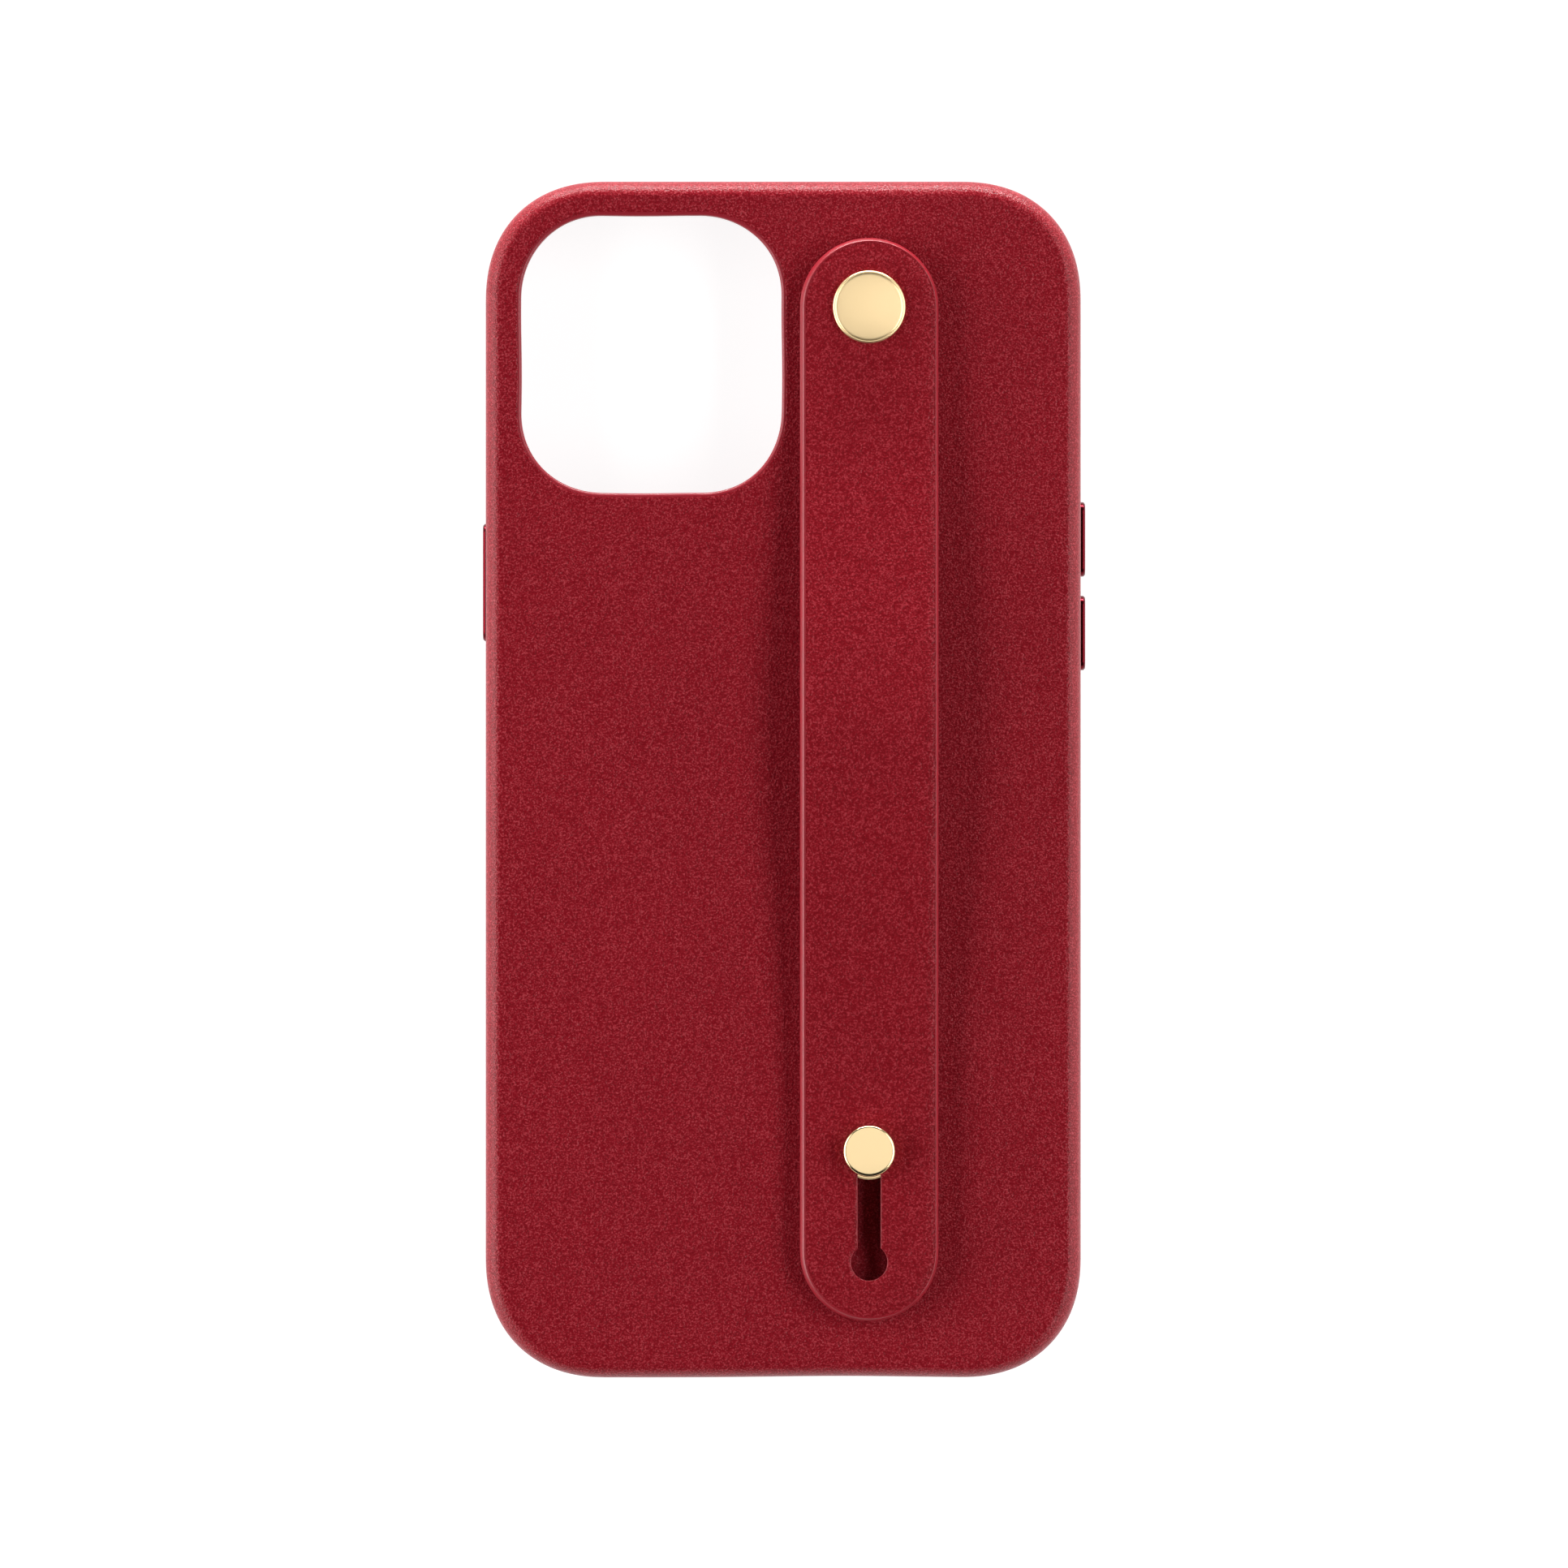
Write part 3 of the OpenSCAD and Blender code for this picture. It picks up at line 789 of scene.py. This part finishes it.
def round_end(y, start):
    """Half a circle about (0, y), anticlockwise from the angle start, without its two ends."""
    angles = [start + math.pi * i / END_STEPS for i in range(1, END_STEPS)]
    return [(HALF_W * math.cos(a), y + HALF_W * math.sin(a), math.cos(a), math.sin(a)) for a in angles]


def strap_outline(top, bottom):
    """Outline of one length of the flat strap, anticlockwise, between flat y bottom and top. A None end is
    the strap's own round end. Points on a cut have no inset, so that neighbours meet, and the insets are
    wider on the left, where the edge was pared further back."""
    side_top = strap_top_y - HALF_W if top is None else top
    side_bottom = tip_y + HALF_W if bottom is None else bottom
    parts = max(2, round((side_top - side_bottom) / EDGE_STEP))
    ys = [side_bottom + (side_top - side_bottom) * i / parts for i in range(parts + 1)]
    columns = [(4 - i) * COLUMN_STEP for i in range(9)]
    outline = [(HALF_W, y, 1.0, 0.0) for y in ys]
    outline += round_end(side_top, 0) if top is None else [(x, top, 0.0, 0.0) for x in columns]
    outline += [(-HALF_W, y, -1.0, 0.0) for y in reversed(ys)]
    if bottom is None:
        outline += round_end(side_bottom, math.pi)
    else:
        outline += [(x, bottom, 0.0, 0.0) for x in reversed(columns)]
    mean, swing = (LEFT_INSET + RIGHT_INSET) / 2, (LEFT_INSET - RIGHT_INSET) / 2
    return [(x, y, nx * (mean - swing * nx), ny * (mean - swing * nx)) for x, y, nx, ny in outline]


def keyhole_outline():
    """The keyhole, clockwise round the material: a slot with a round end at the stud, and a hole."""
    join = math.asin(SLOT_HALF_W / HOLE_R)
    points = []
    for i in range(33):
        a = math.pi / 2 + join + (2 * math.pi - 2 * join) * i / 32
        points.append((HOLE_R * math.cos(a), hole_y + HOLE_R * math.sin(a)))
    slot_low = points[-1][1]
    for i in range(1, SLOT_PARTS):
        points.append((SLOT_HALF_W, slot_low + (stud_y - slot_low) * i / SLOT_PARTS))
    for i in range(13):
        a = math.pi * i / 12
        points.append((SLOT_HALF_W * math.cos(a), stud_y + SLOT_HALF_W * math.sin(a)))
    for i in range(SLOT_PARTS - 1, 0, -1):
        points.append((-SLOT_HALF_W, slot_low + (stud_y - slot_low) * i / SLOT_PARTS))
    return with_normals(points, hole=True)


def face_rows():
    """From the crowned face over a raised bead and the painted slope to the seam with the lining."""
    crown = [(4.2, 0), (3.0, -0.015), (2.0, -0.05), (1.2, -0.11)]
    bead = [(0.80, -0.155), (0.74, -0.15), (0.66, -0.12), (0.58, -0.125)]
    slope = [(0.50, -0.17), (0.42, -0.25), (0.24, -0.45), (0.10, -0.68)]
    seam = [(0.02, 0.25), (0, 0.12), (0.03, 0.04), (0.05, 0)]
    return [(inset, LAYER_T + z) for inset, z in crown + bead + slope] + seam


def lining_rows():
    """From the seam down the painted wall and round the lower edge to the underside."""
    r, low = 0.45, -LAYER_T
    rows = [(0.05, 0), (0.03, -0.04), (0, -0.12), (0, low + r)]
    rows += [(r * (1 - math.cos(a)), low + r - r * math.sin(a)) for a in (0.35, 0.7, 1.05, 1.35, math.pi / 2)]
    return rows + [(1.5, low)]


def keyhole_rows(face):
    """The keyhole's edge, eased where it meets the face or the underside."""
    if face:
        return [(0.7, LAYER_T), (0.16, LAYER_T - 0.01), (0.06, LAYER_T - 0.05), (0, LAYER_T - 0.16),
                (0, 0.1), (0, 0)]
    return [(0, 0), (0, -0.1), (0, -LAYER_T + 0.2), (0.1, -LAYER_T + 0.06), (0.22, -LAYER_T),
            (0.7, -LAYER_T)]


def make_strap_length(n, face):
    """Length n of the strap, 0 at the rivet to 6 at the keyhole: it crosses hinge n."""
    top = None if n == 0 else cuts[n - 1]
    bottom = None if n == 6 else cuts[n]
    rows = face_rows() if face else lining_rows()
    paint = [0] * 4 + [1] * (len(rows) - 5) if face else [1] * (len(rows) - 2) + [0]
    loops = [(strap_outline(top, bottom), rows, paint)]
    if n == 6:
        loops.append((keyhole_outline(), keyhole_rows(face), [0, 0, 1, 1, 1] if face else [1, 1, 1, 0, 0]))
    b = Builder()
    b.slab(loops, FACE_GRID)
    kind = "face" if face else "lining"
    leather_kind = strap_leather if face else backing_leather
    obj = b.make(f"strap_{kind}_length_{n + 1}", [leather_kind, edge_paint], on_strap, 40, grain=True)
    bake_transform(obj)
    nodes = [f"strap_{kind}_{n + 1}"] + ([f"strap_{kind}_8"] if n == 6 else [])
    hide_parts(*nodes)
    return obj


for n in range(7):
    make_strap_length(n, True)
    make_strap_length(n, False)


# ---------- rivet and stud ----------

ARC = (0.15, 0.5, 0.85, 1.2, math.pi / 2)   # angles from straight up, round the cap's rim


def turned_part(name, node, rows, material):
    """Turns rows of (radius, z) about the node's middle, as a piece of the case."""
    b = Builder()
    at = middle_mm(node)
    b.lathe(rows, (at.x, at.y))
    obj = b.make(name, [material], smooth=30)
    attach(obj, "case")
    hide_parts(node)
    return obj


def make_rivet_cap():
    """A shallow dome inside a fine groove, a round rim, and the hollow stem."""
    low, high = box_mm("rivet_cap")
    seat = high.z - 1.2
    rows = [(0, high.z)]
    rows += [(r, high.z - 0.42 * (r / 4.6) ** 2) for r in (0.6, 1.2, 1.8, 2.4, 3.0, 3.5, 4.0, 4.3, 4.5)]
    rows += [(4.58, high.z - 0.44), (4.62, high.z - 0.47), (4.66, high.z - 0.44)]
    rows += [(4.7 + 0.3 * math.sin(a), high.z - 0.72 + 0.3 * math.cos(a)) for a in ARC]
    rows += [(5.0, seat + 0.15), (4.9, seat + 0.03), (4.8, seat), (1.7, seat), (1.7, low.z), (1.17, low.z)]
    rows += [(1.17, seat - 0.7), (0, seat - 0.7)]
    return turned_part("rivet_cap_turned", "rivet_cap", rows, satin_gold)


def make_stud():
    """A flat head with a round edge, the neck, the flange on the back, and the threaded stem."""
    low, high = box_mm("stud")
    head_z = high.z - 2.2
    flange = back_z + 0.8
    rows = [(0, high.z), (3.05, high.z), (3.12, high.z - 0.012)]
    rows += [(3.15 + 0.4 * math.sin(a), high.z - 0.4 + 0.38 * math.cos(a))
             for a in (0.15, 0.4, 0.7, 1.0, 1.3, math.pi / 2)]
    rows += [(3.55, head_z + 0.15), (3.4, head_z), (1.6, head_z), (1.4, head_z - 0.2), (1.4, flange + 0.1)]
    rows += [(1.5, flange), (3.8, flange), (4.0, flange - 0.2), (4.0, back_z), (1.7, back_z), (1.7, low.z)]
    rows += [(1.02, low.z), (1.02, back_z + 0.6), (0, back_z + 0.6)]
    return turned_part("stud_turned", "stud", rows, polished_gold)


rivet_cap = make_rivet_cap()
stud = make_stud()

# ---------- CAD nodes that keep their shape ----------

cad_looks = {
    "back_lining": microfibre,
    "wall_lining": microfibre,
    "rivet_spacer": backing_leather,
    "rivet_post": steel,
    "rivet_washer": steel,
    "stud_screw": steel,
    "stud_washer": steel,
}
for prefix in ("side_button", "volume_up", "volume_down"):
    cad_looks[prefix + "_clip"] = steel
    cad_looks[prefix + "_gasket"] = silicone
for node, material in cad_looks.items():
    for place in frame["nodes"][node].material_slots:
        place.material = material


# ---------- stage ----------

FLOOR_W = 6000
FLOOR_T = 5


def make_floor():
    """The pale floor that the case lies on. It glows, so that it shows white."""
    b = Builder()
    outline = with_normals(rounded_rectangle(FLOOR_W, FLOOR_W, 200, side_step=700))
    b.slab([(outline, [(0, 0), (0, -FLOOR_T)], 0)])
    s = Shader("floor_white")
    s.set(Base_Color=rgb(0.35, 0.35, 0.35), Roughness=0.9,
          Emission_Color=rgb(1, 1, 1), Emission_Strength=0.85)
    floor = b.make("floor", [s.material])
    return floor


def polar(turn, rise, distance):
    """A place at a distance from the middle of the case, turned from +X and raised, in degrees."""
    a, e = math.radians(turn), math.radians(rise)
    return Vector((math.cos(a) * math.cos(e), math.sin(a) * math.cos(e), math.sin(e))) * distance


def area_light(name, place, target, width, height, power):
    data = bpy.data.lights.new(name, "AREA")
    data.shape = "RECTANGLE"
    data.size, data.size_y = width, height
    data.energy = power
    light = bpy.data.objects.new(name, data)
    light.location = place
    light.visible_camera = False
    light.rotation_euler = (Vector(target) - Vector(place)).to_track_quat("-Z", "Y").to_euler()
    bpy.context.scene.collection.objects.link(light)
    return light


make_floor()
LIGHT_AWAY = 0.9      # metres from the middle of the case
studio_lights = (     # turn and rise in degrees, width and height in metres, power in watts
    ("main_left", 180, 36, 1.2, 0.34, 5.2),
    ("main_right", 0, 43, 1.2, 0.34, 6.1),
    ("strip_left", 180, 11, 1.0, 0.3, 6.0),
    ("strip_right", 0, 11, 1.0, 0.3, 2.5),
    ("strip_top", 90, 2, 1.0, 0.06, 17.0),
)
for name, turn, rise, width, height, power in studio_lights:
    area_light(name, polar(turn, rise, LIGHT_AWAY), (0, 0, 0), width, height, power)
gold_fill = area_light("gold_fill", (0, 0.12, 1.0), (0, 0.05, 0), 0.9, 0.9, 3.0)
gold_pieces = bpy.data.collections.new("gold_pieces")
for piece in (rivet_cap, stud):
    gold_pieces.objects.link(piece)
gold_fill.light_linking.receiver_collection = gold_pieces

# The room is bright near the horizon and almost dark above.
world = bpy.data.worlds.new("studio")
world.use_nodes = True
tree = world.node_tree
direction = tree.nodes.new("ShaderNodeTexCoord")
split = tree.nodes.new("ShaderNodeSeparateXYZ")
ramp = tree.nodes.new("ShaderNodeMapRange")
ramp.interpolation_type = "SMOOTHSTEP"
for socket, value in (("From Min", 0.05), ("From Max", 0.25), ("To Min", 0.9), ("To Max", 0.01)):
    ramp.inputs[socket].default_value = value
tree.links.new(direction.outputs["Generated"], split.inputs[0])
tree.links.new(split.outputs["Z"], ramp.inputs["Value"])
tree.links.new(ramp.outputs["Result"], tree.nodes["Background"].inputs["Strength"])
tree.nodes["Background"].inputs["Color"].default_value = (1, 1, 1, 1)
bpy.context.scene.world = world
bpy.context.scene.view_settings.view_transform = "Standard"

# ---------- camera ----------

VIEW_WIDTH = 215.84       # mm across the picture at the height of the case's outline
VIEW_DISTANCE = 2500.0    # mm above that height
VIEW_X, VIEW_Y = 0.106, -0.614
SENSOR = 36.0
camera_data = bpy.data.cameras.new("camera")
camera_data.sensor_width = SENSOR
camera_data.lens = SENSOR * VIEW_DISTANCE / VIEW_WIDTH
camera = bpy.data.objects.new("camera", camera_data)
camera.location = Vector((VIEW_X, VIEW_Y, back_z - EDGE_R + VIEW_DISTANCE)) * MM
bpy.context.scene.collection.objects.link(camera)
bpy.context.scene.camera = camera
